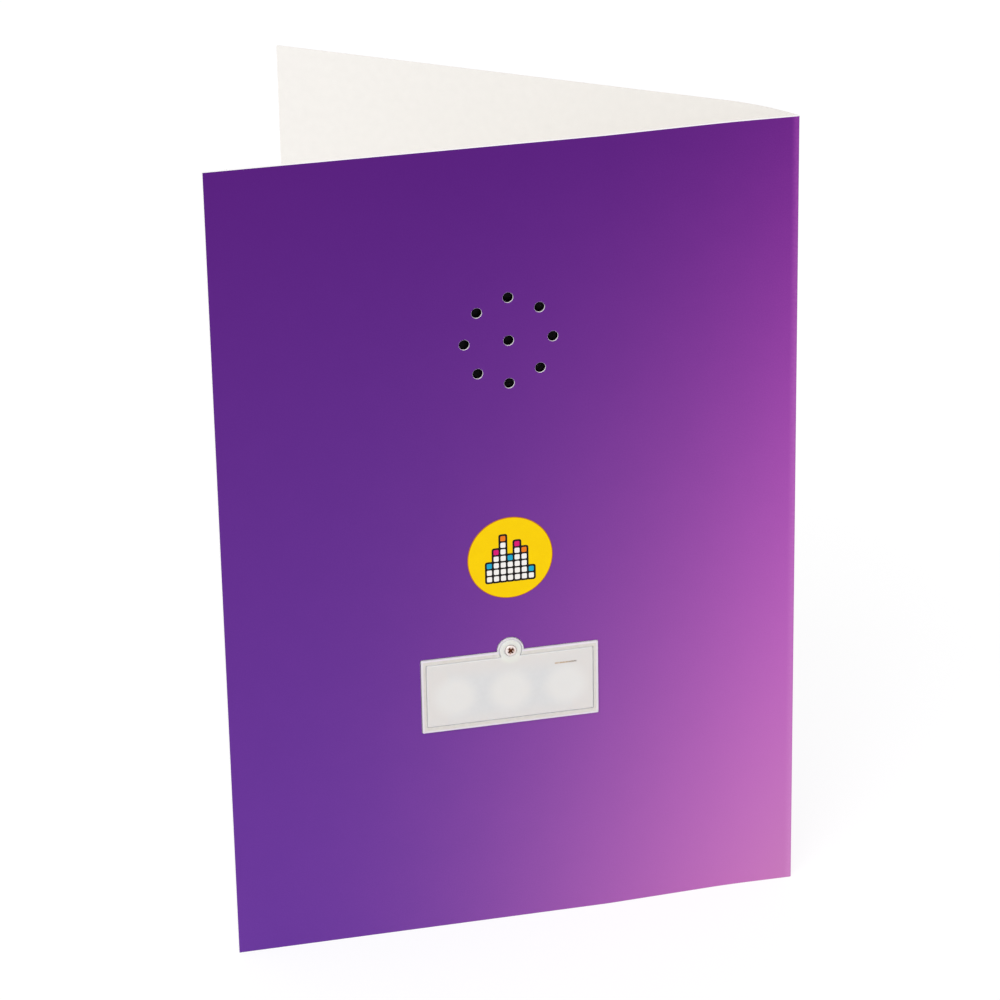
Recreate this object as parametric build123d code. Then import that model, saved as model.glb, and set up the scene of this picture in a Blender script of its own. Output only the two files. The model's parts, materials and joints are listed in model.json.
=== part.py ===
# Recordable greeting card: a folded A5 card that stands open, with a sound module glued
# behind its back leaf. Millimetres, Z up. The back leaf's main part is parallel to XZ with
# its outer face towards -Y, the fold is upright at its +X end, and the front leaf stands
# behind it. Everything is drawn with the fold at X = 0 and the back leaf's outer face at
# Y = 0, then moved so that the origin is under the middle of the card's box.
import os
from math import cos, pi, radians, sin, sqrt, tan

from build123d import *

# Card sheet
leaf_width = 148.0
card_height = 210.0
board = 0.4
opening_angle = 39.2
back_gutter = 17.0
back_gutter_bend = 0.92
back_flex_bend = 2.72
flex_end_margin = 0.3
front_gutter = 12.0
front_gutter_bend = 22.8
end_mitre = 12.0

# Angles that the front leaf's main part makes with the back leaf's at the fold's limits
closed_angle = 0.7
flat_angle = 179.7

# Speaker holes and speaker
speaker_from_fold = 74.1
speaker_height = 159.7
hole_ring_radius = 11.2
hole_diameter = 2.65
ring_holes = 8
speaker_diameter = 36.0
speaker_rim = 3.4
gasket_inset = 1.0
gasket_thickness = 0.6
frame_metal = 0.3
basket_depth = 2.9
basket_wall = 1.1
hub_width = 1.7
surround_width = 2.4
surround_roll = 0.5
surround_thickness = 0.15
surround_land = 0.7
cone_thickness = 0.2
cone_depth = 1.5
cone_lip = 0.4
cone_rim_clearance = 0.2
cone_travel = 0.3
dust_cap_rise = 0.9
dust_cap_flat = 2.1
coil_radius = 4.6
coil_wall = 0.3
coil_gap = 0.3
coil_end_clearance = 0.2
magnet_height = 1.0
magnet_inset = 0.25
pole_thickness = 0.5
yoke_wall = 0.6
yoke_floor = 0.4
yoke_edge = 0.2
window_share = 0.55

# Round label
label_from_fold = 74.7
label_height = 101.8
label_diameter = 22.0
label_thickness = 0.1

# Battery box, seen from outside through a window in the back leaf
box_from_fold = 75.3
box_height = 66.15
box_width = 46.0
box_tall = 20.1
box_corner = 0.3
rim_side_band = 1.3
rim_top_band = 1.5
rim_proud = 0.5
tab_from_fold = 75.1
tab_height = 76.4
tab_radius = 3.4
tab_band = 0.5
window_clearance = 0.12
flange_width = 2.0
flange_thickness = 0.5
glue_thickness = 0.1
box_floor = 0.8
cover_clearance = 0.12
cover_thickness = 1.0
cover_proud = 0.1
cover_edge = 0.2

# Button cells and their contacts
cell_count = 3
cell_diameter = 11.6
cell_thickness = 3.05
cell_spacing = 14.5
cell_height = 65.3
cell_cap_diameter = 9.4
cell_cap_step = 0.3
cell_clearance = 0.15
cell_below_cover = 0.2
spring_space = 0.45
contact_metal = 0.15
contact_width = 5.0
positive_width = 6.0
slot_clearance = 0.2
tail_width = 3.0
tail_length = 3.6
crest_length = 1.2

# Cover screw
screw_head_diameter = 2.9
screw_head_height = 0.6
screw_head_proud = 0.12
screw_radius = 0.75
screw_length = 3.4
screw_running_clearance = 0.05
screw_hole_clearance = 0.12
screw_end_clearance = 0.4
recess_width = 0.45
recess_length = 1.7
recess_depth = 0.35
recess_turn = 38.0

# Circuit board and what is soldered on it
board_tape = 0.4
circuit_from_fold = 74.0
circuit_height = 107.0
circuit_width = 44.0
circuit_tall = 34.0
circuit_thickness = 0.8
circuit_corner = 1.0
tape_margin = 2.0
chip_offset = (0.0, -7.5)
chip_diameter = 9.0
chip_dome = 1.2
memory_offset = (3.0, 2.0)
memory_size = (4.0, 5.0, 1.5)
memory_lift = 0.1
memory_legs = 4
memory_leg_pitch = 1.27
memory_leg_reach = 0.3
memory_leg_root = 0.9
memory_leg_metal = 0.2
memory_leg_rise = 0.8
memory_foot_length = 0.6
resistor_offset = (9.5, -13.0)
resistor_size = (2.0, 1.25, 0.5)
resistor_pitch = 2.2
resistor_rows = 3
capacitor_offset = (-10.0, 12.0)
capacitor_diameter = 4.0
capacitor_length = 2.6
capacitor_pitch = 5.6
capacitor_edge = 0.4
microphone_offset = (0.0, 10.5)
microphone_diameter = 6.0
microphone_thickness = 2.2
felt_thickness = 0.3
microphone_hole = 2.0
lamp_offset = (-12.0, 5.0)
lamp_diameter = 3.0
lamp_collar = 0.4
lamp_leg = 0.5
lamp_leg_spread = 1.2
lamp_proud = 0.8
button_offset = (-12.0, -7.5)
switch_size = 6.0
switch_height = 2.8
switch_bore_depth = 1.0
plunger_radius = 1.6
plunger_clearance = 0.1
button_diameter = 8.0
button_proud = 0.95
button_travel = 0.4
button_rest_gap = 0.1
button_edge = 0.4
panel_hole_clearance = 0.4

# Pull tongue and the play switch that it opens
tongue_width = 10.0
tongue_thickness = 0.2
tongue_depth = 2.5
tongue_height = 107.0
tongue_outer_end = 12.0
tongue_tip_clearance = 0.55
tongue_clearance = 0.3
strap_bend_radius = 1.5
anchor_start = 4.8
anchor_length = 6.6
anchor_glue = 0.1
contact_from_fold = 56.0
switch_base_length = 7.0
switch_base_width = 12.0
switch_base_gap = 0.1
switch_base_offset = 1.0
switch_pad_length = 1.6
switch_pad_thickness = 0.05
switch_leaf_metal = 0.12
switch_leaf_width = 5.0
leaf_over_tongue = 0.15
leaf_foot_length = 3.0
leaf_foot_width = 6.0
leaf_foot_from_contact = 4.6
leaf_dimple_length = 0.6

# Inner liner: a sheet with a raised middle over the module
liner_sheet = 0.3
liner_from_fold = 18.0
liner_free_edge_margin = 2.0
liner_end_margin = 2.0
liner_tape_width = 6.0
module_clearance = 0.2
plateau_margin_fold = 6.3
plateau_margin_free = 5.7
plateau_margin_low = 7.0
plateau_margin_top = 5.3
plateau_slope = 13.0

# Leads
lead_diameter = 0.9
lead_above_board = 0.1
joint_length = 1.6
joint_width = 1.5
joint_height = 1.15
joint_edge = 0.3
joint_inset = 0.3
lead_straight_share = 0.36
supply_lead_radius = 3.0
supply_pad_spread = 12.0
signal_lead_radius = 4.5
signal_pad_spread = 6.0
signal_tag_spread = 3.0
pad_inset = 1.4
terminal_width = 11.0
terminal_tall = 4.4
terminal_rise = 0.4

# The back leaf's flexed strip runs from the gutter to just short of the battery box's flange
back_flex = box_from_fold - box_width / 2 - flange_width - flex_end_margin - back_gutter

# Depths, all measured inwards from the back leaf's outer face
cover_seat = cover_thickness - rim_proud - cover_proud
cell_face = cover_seat + cell_below_cover
cell_back = cell_face + cell_thickness
box_inner = cell_back + spring_space
module_back = box_inner + box_floor
circuit_under = board + board_tape
circuit_top = circuit_under + circuit_thickness
lead_depth = circuit_top + lead_above_board + lead_diameter / 2
liner_inner = module_back + module_clearance
liner_outer = liner_inner + liner_sheet
frame_front = board + gasket_thickness
frame_back = frame_front + frame_metal
tail_depth = circuit_top - contact_metal

# A length past everything, and a gap that reads as contact
reach = 400.0
hair = 0.02


def heading(angle):
    """Direction in plan at an angle from the back leaf's main part, away from the fold."""
    return Vector(-cos(radians(angle)), sin(radians(angle)))


def beside(points, offset):
    """The points of an open outline, moved sideways to the left of its direction."""
    ways = [(b - a).normalized() for a, b in zip(points, points[1:])]
    moved = []
    for i, point in enumerate(points):
        before = ways[max(i - 1, 0)]
        after = ways[min(i, len(ways) - 1)]
        middle = (before + after).normalized()
        left = Vector(-middle.Y, middle.X)
        moved.append(point + left * (offset / middle.dot(after)))
    return moved


def upright(points, low, tall):
    """A plan outline made solid between two heights."""
    face = make_face(Polyline(*[(p.X, p.Y) for p in points], close=True))
    return extrude(Pos(0, 0, low) * face, amount=tall, dir=(0, 0, 1))


def slab(drawing, near, far):
    """A drawing in the leaf's plane made solid between two depths."""
    return extrude(Plane.XZ.offset(-near) * drawing, amount=far - near, dir=(0, 1, 0))


def on_leaf(from_fold, height, drawing):
    """A drawing placed on the leaf by its distance from the fold and its height."""
    return Pos(-from_fold, height) * drawing


def on_circuit(offset):
    """Distance from the fold and height of a component, from the board's centre."""
    return circuit_from_fold - offset[0], circuit_height + offset[1]


def turned(profile, from_fold, height):
    """A half profile of radius and depth, turned about the depth axis and put in place."""
    face = make_face(Polyline(*profile, close=True))
    return Pos(-from_fold, 0, height) * revolve(face, Axis.Y)


def ring(inner, outer, near, far, from_fold, height):
    drawing = Circle(outer) - Circle(inner)
    return slab(on_leaf(from_fold, height, drawing), near, far)


def box(from_fold, height, wide, tall, near, far):
    return slab(on_leaf(from_fold, height, Rectangle(wide, tall)), near, far)


def plan_strip(points, thickness, low, tall):
    """A bent metal strip whose centre line is given in plan."""
    outline = beside(points, thickness / 2) + beside(points, -thickness / 2)[::-1]
    return upright(outline, low, tall)


def side_strip(points, thickness, from_fold, wide):
    """A bent metal strip whose centre line is given as height and depth."""
    line = [Vector(height, depth) for height, depth in points]
    outline = beside(line, thickness / 2) + beside(line, -thickness / 2)[::-1]
    face = make_face(Polyline(*[(0, p.Y, p.X) for p in outline], close=True))
    return extrude(Pos(-from_fold - wide / 2, 0, 0) * face, amount=wide, dir=(1, 0, 0))


# The card's two leaves in plan, as the lines of their inner faces from the fold outwards
flex_drop = back_flex * sin(radians(back_flex_bend))
gutter_rise = back_gutter * sin(radians(back_gutter_bend))
fold_depth = board + flex_drop - gutter_rise
fold = Vector(0, fold_depth)
back_line = [fold]
back_line.append(back_line[-1] + heading(back_gutter_bend) * back_gutter)
back_line.append(back_line[-1] + heading(-back_flex_bend) * back_flex)
back_line.append(back_line[-1] + heading(0) * (leaf_width - back_gutter - back_flex))
front_gutter_angle = opening_angle + front_gutter_bend
front_line = [fold]
front_line.append(front_line[-1] + heading(front_gutter_angle) * front_gutter)
front_line.append(front_line[-1] + heading(opening_angle) * (leaf_width - front_gutter))


def depth_at(from_fold, lift=0.0):
    """Depth of the back leaf's inner face, or of a line lifted off it, at one distance."""
    line = beside(back_line, -lift) if lift else back_line
    for a, b in zip(line, line[1:]):
        if -b.X >= from_fold:
            share = (from_fold + a.X) / (a.X - b.X)
            return a.Y + share * (b.Y - a.Y)
    return line[-1].Y


def leaf_outline(line, offset):
    outer = beside(line, offset)
    first = (line[1] - line[0]).normalized()
    outer[0] = outer[0] + first * (board * tan(radians(end_mitre)))
    return line + outer[::-1]


def rim_outline(grow=0.0):
    """The battery box's outline seen from outside: a rectangle with the screw's round tab."""
    body = RectangleRounded(box_width + 2 * grow, box_tall + 2 * grow, box_corner + max(grow, 0))
    drawing = on_leaf(box_from_fold, box_height, body)
    return drawing + on_leaf(tab_from_fold, tab_height, Circle(tab_radius + grow))


def cover_outline(grow=0.0):
    wide = box_width - 2 * rim_side_band + 2 * grow
    tall = box_tall - 2 * rim_top_band + 2 * grow
    drawing = on_leaf(box_from_fold, box_height, RectangleRounded(wide, tall, box_corner))
    return drawing + on_leaf(tab_from_fold, tab_height, Circle(tab_radius - tab_band + grow))


def back_board():
    sheet = upright(leaf_outline(back_line, board), 0, card_height)
    sheet -= slab(rim_outline(window_clearance), -1, board + 1)
    holes = Circle(hole_diameter / 2)
    holes += PolarLocations(hole_ring_radius, ring_holes) * Circle(hole_diameter / 2)
    sheet -= slab(on_leaf(speaker_from_fold, speaker_height, holes), -1, board + 1)
    return sheet


def front_board():
    return upright(leaf_outline(front_line, -board), 0, card_height)


def spine_crease():
    """The creased outer skin between the two mitred leaf ends."""
    back_corner = leaf_outline(back_line, board)[-1]
    front_corner = leaf_outline(front_line, -board)[-1]
    start = fold + (back_corner - fold).normalized() * board
    end = fold + (front_corner - fold).normalized() * board
    half = ((start + end) * 0.5 - fold).normalized()
    middle = fold - half * board if half.X < 0 else fold + half * board
    outline = Line(fold, start) + ThreePointArc(start, middle, end) + Line(end, fold)
    return extrude(make_face(outline), amount=card_height, dir=(0, 0, 1))


def round_label():
    return slab(on_leaf(label_from_fold, label_height, Circle(label_diameter / 2)), -label_thickness, 0)


# Battery box
def cell_places():
    first = box_from_fold + cell_spacing * (cell_count - 1) / 2
    return [first - cell_spacing * i for i in range(cell_count)]


def contact_edge():
    """Height at which the contacts touch the tops of the cells."""
    return cell_height + cell_diameter / 2 + hair


def battery_box():
    body = slab(rim_outline(), -rim_proud, module_back)
    flange_near = board + glue_thickness
    body += slab(rim_outline(flange_width), flange_near, flange_near + flange_thickness)
    body -= slab(cover_outline(cover_clearance), -rim_proud - 1, cover_seat)
    pocket = Circle(cell_diameter / 2 + cell_clearance)
    for place in cell_places():
        body -= slab(on_leaf(place, cell_height, pocket), cover_seat - 1, box_inner)
    slot = 2 * slot_clearance
    span = cell_spacing * (cell_count - 1)
    body -= box(box_from_fold, cell_height, span, contact_width + slot, cover_seat - 1, box_inner)
    positive, negative = cell_places()[-1], cell_places()[0]
    edge = contact_edge()
    room_low = cell_height + cell_diameter / 4
    room_high = edge + contact_metal + slot_clearance
    tall = room_high - room_low
    middle = (room_high + room_low) / 2
    bend_back = tail_depth + contact_metal + slot_clearance
    body -= box(positive, middle, positive_width + slot, tall, cover_seat - 1, bend_back)
    body -= box(negative, middle, tail_width + slot, tall, cover_seat - 1, box_inner)
    top = box_height + box_tall / 2
    tail_near = tail_depth - slot_clearance
    for place in (positive, negative):
        tail_tall = top + 1 - room_high
        body -= box(place, room_high + tail_tall / 2, tail_width + slot, tail_tall, tail_near, bend_back)
    bore = Circle(screw_radius + screw_running_clearance)
    body -= slab(on_leaf(tab_from_fold, tab_height, bore), 0, screw_tip() + screw_end_clearance)
    return body


def box_tape():
    drawing = rim_outline(flange_width) - rim_outline(window_clearance)
    return slab(drawing, board, board + glue_thickness)


def screw_seat():
    return screw_head_height - screw_head_proud - rim_proud - cover_proud


def screw_tip():
    return screw_seat() + screw_length


def battery_cover():
    front = -rim_proud - cover_proud
    plate = slab(cover_outline(), front, cover_seat)
    outer_edges = plate.faces().sort_by(Axis.Y)[0].edges()
    plate = chamfer(outer_edges, cover_edge)
    well = Circle(screw_head_diameter / 2 + screw_hole_clearance)
    plate -= slab(on_leaf(tab_from_fold, tab_height, well), front - 1, screw_seat())
    hole = Circle(screw_radius + screw_hole_clearance)
    plate -= slab(on_leaf(tab_from_fold, tab_height, hole), front - 1, cover_seat + 1)
    return plate


def cover_screw():
    front = screw_seat() - screw_head_height
    head = slab(on_leaf(tab_from_fold, tab_height, Circle(screw_head_diameter / 2)), front, screw_seat())
    head = fillet(head.faces().sort_by(Axis.Y)[0].edges(), screw_head_height / 3)
    shank = slab(on_leaf(tab_from_fold, tab_height, Circle(screw_radius)), screw_seat(), screw_tip())
    cross = Rectangle(recess_length, recess_width) + Rectangle(recess_width, recess_length)
    cross = on_leaf(tab_from_fold, tab_height, Rot(0, 0, recess_turn) * cross)
    recess = slab(cross, front - 1, front + recess_depth)
    return head + shank - recess


def button_cell(place):
    """A cell with its flat, larger face under the cover and its smaller cap on the box's floor."""
    radius = cell_diameter / 2
    cap = cell_cap_diameter / 2
    shoulder = cell_back - cell_cap_step
    profile = [(0, cell_face), (radius - cell_cap_step, cell_face), (radius, cell_face + cell_cap_step)]
    profile += [(radius, shoulder - cell_cap_step), (radius - cell_cap_step, shoulder)]
    profile += [(cap, shoulder), (cap, cell_back), (0, cell_back)]
    return turned(profile, place, cell_height)


def spring_line(start, end):
    """Plan line of a contact under a cell: a raised crest, then down to the floor and along it."""
    crest = cell_back + hair + contact_metal / 2
    floor = box_inner - contact_metal / 2
    way = 1 if end > start else -1
    line = [(start - way * crest_length, crest), (start, crest)]
    line += [(start + way * crest_length, floor), (end, floor)]
    return line


def series_contact(index):
    """Joins the cap of one cell to the side of the next one away from the fold."""
    start = cell_places()[index]
    end = cell_places()[index - 1] - cell_diameter / 2 - hair - contact_metal / 2
    line = spring_line(start, end) + [(end, cell_face + cell_thickness / 3)]
    points = [Vector(-away, depth) for away, depth in line]
    return plan_strip(points, contact_metal, cell_height - contact_width / 2, contact_width)


def tail_end():
    return box_height + box_tall / 2 + tail_length


def negative_contact():
    rise = contact_edge() + contact_metal / 2
    tail = tail_depth + contact_metal / 2
    line = spring_line(cell_height, rise) + [(rise, tail), (tail_end(), tail)]
    return side_strip(line, contact_metal, cell_places()[0], tail_width)


def positive_contact():
    """Stands on edge against the last cell, its outer edge just under the cover."""
    rise = contact_edge() + contact_metal / 2
    tail = tail_depth + contact_metal / 2
    place = cell_places()[-1]
    stand = side_strip([(rise, cover_seat + hair), (rise, tail)], contact_metal, place, positive_width)
    line = [(rise, tail - contact_metal), (rise, tail), (tail_end(), tail)]
    return stand + side_strip(line, contact_metal, place, tail_width)


# Circuit board and its components
def circuit_board():
    drawing = RectangleRounded(circuit_width, circuit_tall, circuit_corner)
    return slab(on_leaf(circuit_from_fold, circuit_height, drawing), circuit_under, circuit_top)


def circuit_tape():
    drawing = Rectangle(circuit_width - 2 * tape_margin, circuit_tall - 2 * tape_margin)
    return slab(on_leaf(circuit_from_fold, circuit_height, drawing), board, circuit_under)


def sound_chip():
    """A black resin drop over the bare chip."""
    radius = chip_diameter / 2
    sphere = (radius ** 2 + chip_dome ** 2) / (2 * chip_dome)
    drop = Pos(0, circuit_top + chip_dome - sphere, 0) * Sphere(sphere)
    place, height = on_circuit(chip_offset)
    drop = Pos(-place, 0, height) * drop
    return drop & box(place, height, reach, reach, circuit_top, circuit_top + reach)


def memory_chip():
    place, height = on_circuit(memory_offset)
    wide, tall, deep = memory_size
    body = box(place, height, wide, tall, circuit_top + memory_lift, circuit_top + deep)
    leg_wide = memory_leg_pitch / 3
    metal = memory_leg_metal
    knee_top = circuit_top + memory_leg_rise
    for i in range(memory_legs):
        at = height + (i - (memory_legs - 1) / 2) * memory_leg_pitch
        for side in (-1, 1):
            knee = place + side * (wide / 2 + memory_leg_reach)
            foot = knee + side * memory_foot_length / 2
            body += box(place + side * wide / 2, at, memory_leg_root, leg_wide, knee_top - metal, knee_top)
            body += box(knee, at, metal, leg_wide, circuit_top, knee_top)
            body += box(foot, at, memory_foot_length, leg_wide, circuit_top, circuit_top + metal)
    return body


def resistors():
    place, height = on_circuit(resistor_offset)
    wide, tall, deep = resistor_size
    parts = []
    for i in range(resistor_rows):
        parts.append(box(place, height + i * resistor_pitch, wide, tall, circuit_top, circuit_top + deep))
    return Compound(children=parts)


def capacitors():
    """Two small cans that stand on the board."""
    place, height = on_circuit(capacitor_offset)
    radius = capacitor_diameter / 2
    parts = []
    for i in range(2):
        at = place + i * capacitor_pitch
        can = slab(on_leaf(at, height, Circle(radius)), circuit_top, circuit_top + capacitor_length)
        parts.append(fillet(can.faces().sort_by(Axis.Y)[-1].edges(), capacitor_edge))
    return Compound(children=parts)


def microphone():
    place, height = on_circuit(microphone_offset)
    drawing = on_leaf(place, height, Circle(microphone_diameter / 2))
    can = slab(drawing, circuit_top, circuit_top + microphone_thickness)
    return fillet(can.faces().sort_by(Axis.Y)[-1].edges(), felt_thickness)


def microphone_felt():
    place, height = on_circuit(microphone_offset)
    near = circuit_top + microphone_thickness
    drawing = Circle(microphone_diameter / 2 - felt_thickness)
    return slab(on_leaf(place, height, drawing), near, near + felt_thickness)


def record_lamp():
    place, height = on_circuit(lamp_offset)
    radius = lamp_diameter / 2
    tip = liner_outer + lamp_proud
    foot = circuit_top + lamp_leg
    shell = slab(on_leaf(place, height, Circle(radius)), foot, tip - radius)
    shell += slab(on_leaf(place, height, Circle(radius + lamp_collar)), foot, foot + 2 * lamp_collar)
    shell += Pos(-place, tip - radius, height) * Sphere(radius)
    for side in (-1, 1):
        leg = Rectangle(lamp_leg, lamp_leg)
        shell += slab(on_leaf(place + side * lamp_leg_spread, height, leg), circuit_top, foot)
    return shell


def switch_base():
    place, height = on_circuit(button_offset)
    top = circuit_top + switch_height
    body = box(place, height, switch_size, switch_size, circuit_top, top)
    well = Circle(plunger_radius + plunger_clearance)
    return body - slab(on_leaf(place, height, well), top - switch_bore_depth, top + 1)


def record_button():
    place, height = on_circuit(button_offset)
    top = circuit_top + switch_height
    outer = liner_outer + button_proud
    under = top + button_travel + button_rest_gap
    foot = top - switch_bore_depth + button_travel + button_rest_gap
    cap = slab(on_leaf(place, height, Circle(button_diameter / 2)), under, outer)
    cap = fillet(cap.faces().sort_by(Axis.Y)[-1].edges(), button_edge)
    return cap + slab(on_leaf(place, height, Circle(plunger_radius)), foot, under)


# Play switch and pull tongue
def play_switch_base():
    place = contact_from_fold + switch_base_offset
    far = tongue_depth - switch_base_gap
    return box(place, tongue_height, switch_base_length, switch_base_width, circuit_top, far)


def play_switch_pad():
    near = tongue_depth - switch_base_gap
    drawing = Rectangle(switch_pad_length, switch_leaf_width)
    return slab(on_leaf(contact_from_fold, tongue_height, drawing), near, near + switch_pad_thickness)


def leaf_level():
    """Depth of the flat part of the play switch's leaf, over the tongue."""
    return tongue_depth + tongue_thickness + leaf_over_tongue + switch_leaf_metal / 2


def play_switch_foot():
    place = contact_from_fold + leaf_foot_from_contact + leaf_foot_length / 2
    far = leaf_level() - switch_leaf_metal / 2
    return box(place, tongue_height, leaf_foot_length, leaf_foot_width, circuit_top, far)


def play_switch_leaf():
    """A springy leaf that rests on the pad once the tongue has been drawn from between them."""
    level = leaf_level()
    down = tongue_depth - switch_base_gap + switch_pad_thickness + hair + switch_leaf_metal / 2
    foot_end = contact_from_fold + leaf_foot_from_contact + leaf_foot_length
    half = leaf_dimple_length / 2
    line = [(foot_end, level), (contact_from_fold + leaf_foot_from_contact / 3, level)]
    line += [(contact_from_fold + half, down), (contact_from_fold - half, down)]
    line += [(contact_from_fold - 2 * half, level), (contact_from_fold - 5 * half, level + switch_leaf_metal)]
    points = [Vector(-away, depth) for away, depth in line]
    return plan_strip(points, switch_leaf_metal, tongue_height - switch_leaf_width / 2, switch_leaf_width)


def tongue_slider():
    inner_end = contact_from_fold - tongue_tip_clearance
    length = inner_end - tongue_outer_end
    place = (inner_end + tongue_outer_end) / 2
    far = tongue_depth + tongue_thickness
    return box(place, tongue_height, length, tongue_width, tongue_depth, far)


def strap_line():
    """Plan line of the free strap: along the tongue to the fold, then up the front leaf's gutter."""
    level = tongue_depth + tongue_thickness / 2
    along = heading(front_gutter_angle)
    inward = Vector(-along.Y, along.X)
    off = anchor_glue + tongue_thickness / 2
    rail = fold + inward * off
    corner = rail + along * ((level - rail.Y) / along.Y)
    end = rail + along * anchor_start
    start = Vector(-tongue_outer_end, level)
    return start, corner, end


def tongue_strap():
    start, corner, end = strap_line()
    first = (start - corner).normalized()
    second = (end - corner).normalized()
    tangent = strap_bend_radius / tan(radians(first.get_angle(second)) / 2)
    arc_start = corner + first * tangent
    arc_end = corner + second * tangent
    away = (first + second).normalized()
    centre = corner + away * sqrt(tangent ** 2 + strap_bend_radius ** 2)
    half = tongue_thickness / 2

    def edge(shift):
        side = Vector(0, shift)
        rise = (centre - arc_start).normalized() * shift
        fall = (centre - arc_end).normalized() * shift
        middle = centre - away * (strap_bend_radius - shift)
        return start + side, arc_start + rise, middle, arc_end + fall, end + fall

    near, far = edge(half), edge(-half)
    outline = Line(near[0], near[1]) + ThreePointArc(*near[1:4]) + Line(near[3], near[4])
    outline += Line(near[4], far[4]) + Line(far[4], far[3])
    outline += ThreePointArc(far[3], far[2], far[1]) + Line(far[1], far[0]) + Line(far[0], near[0])
    low = tongue_height - tongue_width / 2
    return extrude(Pos(0, 0, low) * make_face(outline), amount=tongue_width, dir=(0, 0, 1))


def tongue_anchor():
    along = heading(front_gutter_angle)
    inward = Vector(-along.Y, along.X)
    near = fold + along * anchor_start
    far = near + along * anchor_length
    depth = inward * (anchor_glue + tongue_thickness)
    low = tongue_height - tongue_width / 2
    return upright([near, far, far + depth, near + depth], low, tongue_width)


# Speaker
def speaker_gasket():
    outer = speaker_diameter / 2
    inner = outer - speaker_rim + gasket_inset
    return ring(inner, outer, board, frame_front, speaker_from_fold, speaker_height)


def yoke_radius():
    return coil_radius + coil_wall / 2 + coil_gap + yoke_wall


def frame_plate():
    """Depth of the flat ring that carries the yoke."""
    return frame_front + basket_depth


def speaker_frame():
    outer = speaker_diameter / 2
    inner = outer - speaker_rim
    hub = yoke_radius() + hair
    shoulder = hub + hub_width
    plate = frame_plate()
    metal = frame_metal
    wall = frame_front + basket_wall
    profile = [(inner, frame_front), (outer, frame_front), (outer, frame_back)]
    profile += [(inner + metal, frame_back), (inner + metal, wall), (shoulder + metal, plate), (hub, plate)]
    profile += [(hub, plate - metal), (shoulder, plate - metal), (inner, wall)]
    dish = turned(profile, speaker_from_fold, speaker_height)
    middle = (inner + shoulder) / 2
    span = (inner - shoulder) * window_share
    opening = Rectangle(span, span)
    windows = Sketch() + PolarLocations(middle, 4, start_angle=45) * opening
    return dish - slab(on_leaf(speaker_from_fold, speaker_height, windows), wall, module_back)


def surround_edges():
    """Radii of the surround: inner land, roll and outer land."""
    roll_outer = speaker_diameter / 2 - speaker_rim - hair
    roll_inner = roll_outer - surround_width
    return roll_inner - surround_land, roll_inner, roll_outer, roll_outer + surround_land


def speaker_surround():
    land_in, roll_in, roll_out, land_out = surround_edges()
    far = frame_front
    near = far - surround_thickness
    middle = (roll_in + roll_out) / 2
    rise = surround_roll
    outline = Line((land_in, near), (roll_in, near))
    outline += ThreePointArc((roll_in, near), (middle, near + rise), (roll_out, near))
    outline += Line((roll_out, near), (land_out, near)) + Line((land_out, near), (land_out, far))
    outline += Line((land_out, far), (roll_out, far))
    outline += ThreePointArc((roll_out, far), (middle, far + rise), (roll_in, far))
    outline += Line((roll_in, far), (land_in, far)) + Line((land_in, far), (land_in, near))
    return Pos(-speaker_from_fold, 0, speaker_height) * revolve(make_face(outline), Axis.Y)


def speaker_cone():
    """A shallow cone with a dust cap, joined to the surround at its rim and to the coil at its neck."""
    land_in, roll_in, _, _ = surround_edges()
    t = cone_thickness
    near = frame_front + hair
    neck = coil_radius + coil_wall / 2
    deep = near + cone_depth
    cap = deep - dust_cap_rise
    flat = dust_cap_flat
    rim = roll_in - cone_rim_clearance
    lip = land_in - cone_lip
    profile = [(rim, near), (rim, near + t), (lip, near + t)]
    profile += [(neck, deep + t), (neck - coil_wall, deep + t), (flat, cap + t), (0, cap + t)]
    profile += [(0, cap), (flat, cap), (neck - coil_wall, deep), (neck - t / 4, deep), (lip, near)]
    return turned(profile, speaker_from_fold, speaker_height)


def coil_front():
    return frame_front + hair + cone_depth + cone_thickness


def voice_coil():
    """Reaches as far into the yoke as the cone's travel leaves room for."""
    half = coil_wall / 2
    far = yoke_inner() - cone_travel - coil_end_clearance
    return ring(coil_radius - half, coil_radius + half, coil_front(), far, speaker_from_fold, speaker_height)


def pole_radius():
    return coil_radius - coil_wall / 2 - coil_gap


def yoke_inner():
    return module_back - yoke_floor


def speaker_magnet():
    drawing = Circle(pole_radius() - magnet_inset)
    near = yoke_inner() - magnet_height
    return slab(on_leaf(speaker_from_fold, speaker_height, drawing), near, yoke_inner())


def speaker_top_plate():
    far = yoke_inner() - magnet_height
    drawing = Circle(pole_radius())
    return slab(on_leaf(speaker_from_fold, speaker_height, drawing), far - pole_thickness, far)


def speaker_yoke():
    outer = yoke_radius()
    inner = outer - yoke_wall
    near = yoke_inner() - magnet_height - pole_thickness
    profile = [(0, yoke_inner()), (inner, yoke_inner()), (inner, near), (outer, near)]
    profile += [(outer, module_back - yoke_edge), (outer - yoke_edge, module_back), (0, module_back)]
    return turned(profile, speaker_from_fold, speaker_height)


def terminal_height():
    return speaker_height - speaker_diameter / 2 + terminal_rise


def speaker_terminals():
    """A small board on the frame's rim, level with the top of the circuit board."""
    return box(speaker_from_fold, terminal_height(), terminal_width, terminal_tall, frame_back, circuit_top)


# Leads and solder joints
def solder_joint(place, height):
    """A small rounded mound of solder, its flat ends across the lead."""
    mound = box(place, height, joint_width, joint_length, circuit_top, circuit_top + joint_height)
    crown = mound.faces().sort_by(Axis.Y)[-1].edges().filter_by(Axis.Z)
    return fillet(crown, joint_edge)


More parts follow.
